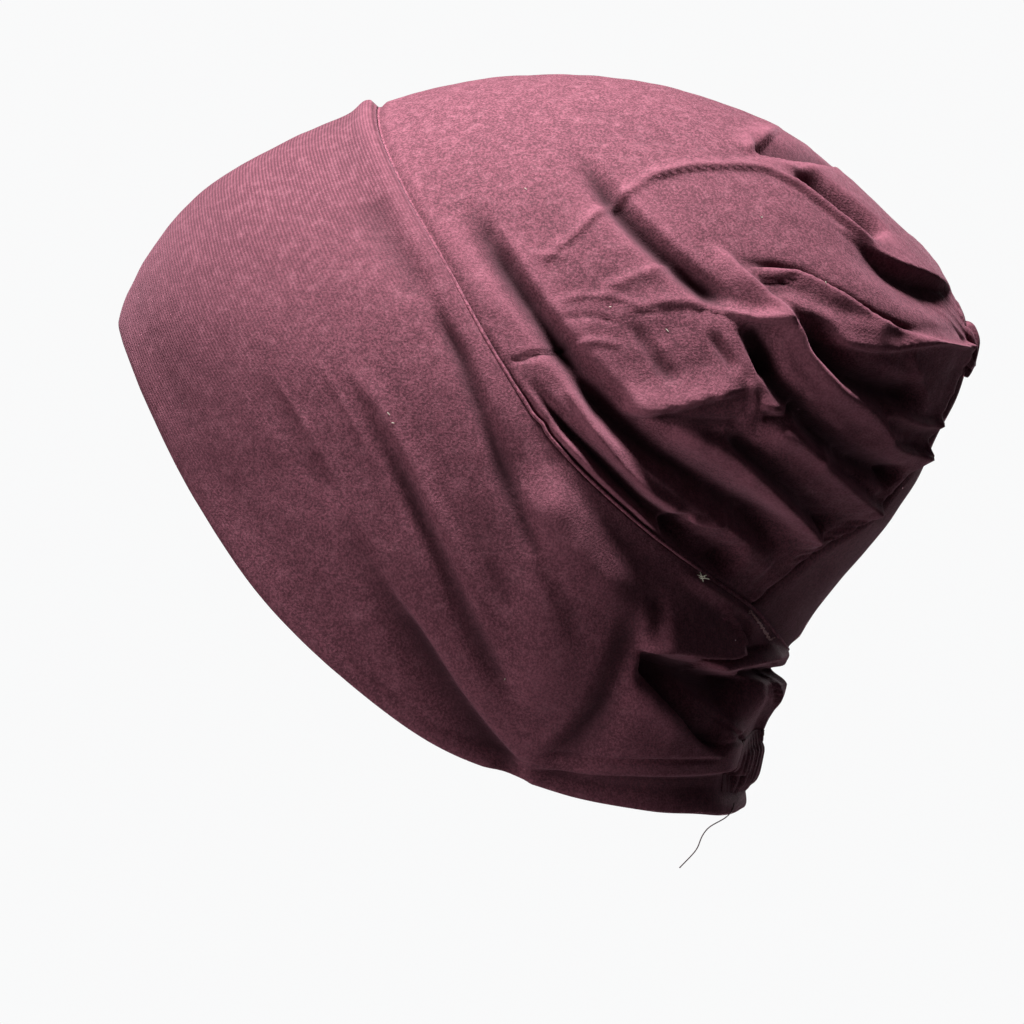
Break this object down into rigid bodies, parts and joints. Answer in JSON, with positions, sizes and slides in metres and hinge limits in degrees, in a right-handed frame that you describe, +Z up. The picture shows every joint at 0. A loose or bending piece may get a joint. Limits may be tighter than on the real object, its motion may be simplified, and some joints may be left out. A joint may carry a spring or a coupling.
{
  "type": "hijab underscarf cap",
  "caption": "Close-fitting jersey underscarf cap: wide doubled front band, gathered crown bag, centre-back strip and elastic nape casing, held in its worn form.",
  "frame": {"origin": "inside of the crown, where the top of the head bears", "axes": "+Z up, the wearer's face looks along -X, the wearer's left is -Y"},
  "size_m": [0.214, 0.1564, 0.1845],
  "materials": {
    "band_jersey": "matte fine knit",
    "crown_jersey": "matte fine knit",
    "seam_thread": "matte overlocked edge",
    "back_jersey": "matte fine knit"
  },
  "bodies": {
    "root": {"front_band": "band_jersey", "crown": "crown_jersey", "crown_seam": "seam_thread", "back_strip": "back_jersey", "nape_casing": "back_jersey"}
  },
  "joints": []
}
